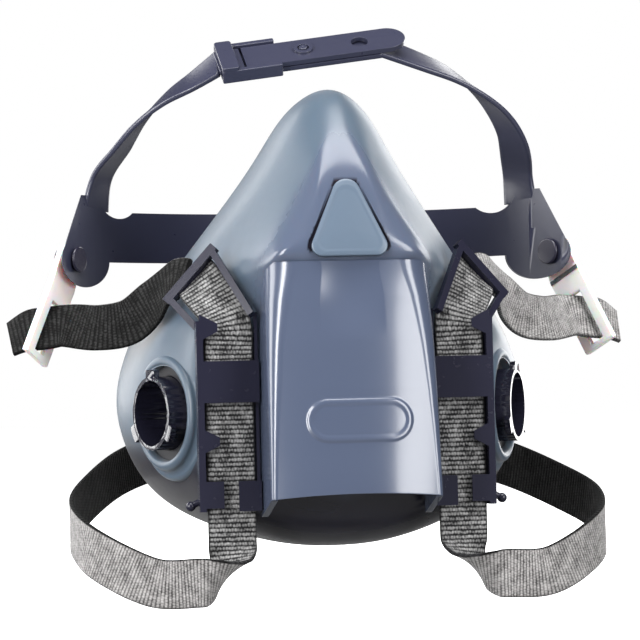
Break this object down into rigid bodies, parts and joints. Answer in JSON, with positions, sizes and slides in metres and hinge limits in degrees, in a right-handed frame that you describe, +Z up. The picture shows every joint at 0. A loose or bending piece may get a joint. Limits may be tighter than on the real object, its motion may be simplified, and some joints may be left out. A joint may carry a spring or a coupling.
{
  "type": "half-face respirator",
  "caption": "Half-face respirator facepiece with soft seal, bayonet filter ports, outlet cowl, drop-down webbing harness and adjustable head cradle",
  "frame": {"origin": "centre of the face seal's opening, level with the rear of the seal at the cheeks", "axes": "+Z up the nose, -Y forward out of the cowl, +Y towards the wearer's face, +X the wearer's left"},
  "size_m": [0.1968, 0.1369, 0.1771],
  "materials": {
    "silicone": "soft matte silicone",
    "badge_silicone": "soft matte silicone",
    "cowl_plastic": "satin gloss",
    "frame_plastic": "satin gloss",
    "black_plastic": "gloss",
    "gasket_rubber": "matte",
    "valve_rubber": "soft",
    "webbing": "ribbed elastic weave",
    "clip_plastic": "translucent frosted",
    "pin_plastic": "satin",
    "cradle_plastic": "satin",
    "clasp_plastic": "satin"
  },
  "bodies": {
    "facepiece": {"face_seal": "silicone", "valve_body": "black_plastic", "badge": "badge_silicone", "port_right": "black_plastic", "port_left": "black_plastic", "gasket_right": "gasket_rubber", "gasket_left": "gasket_rubber", "strap_frame_right": "frame_plastic", "strap_frame_left": "frame_plastic", "webbing_right": "webbing", "webbing_left": "webbing", "upper_strap_right": "webbing", "upper_strap_left": "webbing", "neck_clasp": "clasp_plastic", "neck_strap_end": "webbing"},
    "cowl_cover": {"cowl": "cowl_plastic"},
    "exhale_flap": {"exhale_valve": "valve_rubber"},
    "inhale_flap_right": {"inhale_valve_right": "valve_rubber"},
    "inhale_flap_left": {"inhale_valve_left": "valve_rubber"},
    "head_cradle": {"cradle": "cradle_plastic", "cradle_pins": "pin_plastic", "crown_band_right": "cradle_plastic", "crown_band_left": "cradle_plastic"},
    "clip_right": {"strap_clip_right": "clip_plastic", "strap_tail_right": "webbing"},
    "clip_left": {"strap_clip_left": "clip_plastic", "strap_tail_left": "webbing"},
    "crown_tongue_end": {"crown_tongue": "cradle_plastic"},
    "neck_hook_end": {"neck_hook": "clasp_plastic"}
  },
  "joints": [
    {"name": "cowl_slide", "type": "slide", "parent": "facepiece", "child": "cowl_cover", "axis": [0, -1, 0], "range_m": [0, 0.014]},
    {"name": "exhale_lift", "type": "slide", "parent": "facepiece", "child": "exhale_flap", "axis": [0, -1, 0], "range_m": [0, 0.0015], "stiffness_N_per_m": 15, "springref_m": -0.0004},
    {"name": "inhale_lift_right", "type": "slide", "parent": "facepiece", "child": "inhale_flap_right", "axis": [0.9135, 0.4067, 0], "range_m": [0, 0.0015], "stiffness_N_per_m": 15, "springref_m": -0.0004},
    {"name": "inhale_lift_left", "type": "slide", "parent": "facepiece", "child": "inhale_flap_left", "axis": [-0.9135, 0.4067, 0], "range_m": [0, 0.0015], "stiffness_N_per_m": 15, "springref_m": -0.0004},
    {"name": "cradle_stretch", "type": "slide", "parent": "facepiece", "child": "head_cradle", "axis": [0, 1, 0], "range_m": [0, 0.03], "stiffness_N_per_m": 25, "deforming": ["upper_strap_right", "upper_strap_left"]},
    {"name": "clip_swing_right", "type": "hinge", "parent": "head_cradle", "child": "clip_right", "pos_m": [-0.07599, -0.008, 0.0205], "axis": [-0.8171, 0.5764, 0], "range_deg": [-20, 20], "deforming": ["strap_tail_right"]},
    {"name": "clip_swing_left", "type": "hinge", "parent": "head_cradle", "child": "clip_left", "pos_m": [0.07599, -0.008, 0.0205], "axis": [0.8171, 0.5764, 0], "range_deg": [-20, 20], "deforming": ["strap_tail_left"]},
    {"name": "tongue_lift", "type": "hinge", "parent": "head_cradle", "child": "crown_tongue_end", "pos_m": [-0.02396, -0.02669, 0.0811], "axis": [0.0758, -0.8028, -0.5914], "range_deg": [0, 28]},
    {"name": "neck_hook_slide", "type": "slide", "parent": "facepiece", "child": "neck_hook_end", "axis": [1, 0, 0], "range_m": [0, 0.012], "deforming": ["neck_strap_end"]}
  ]
}
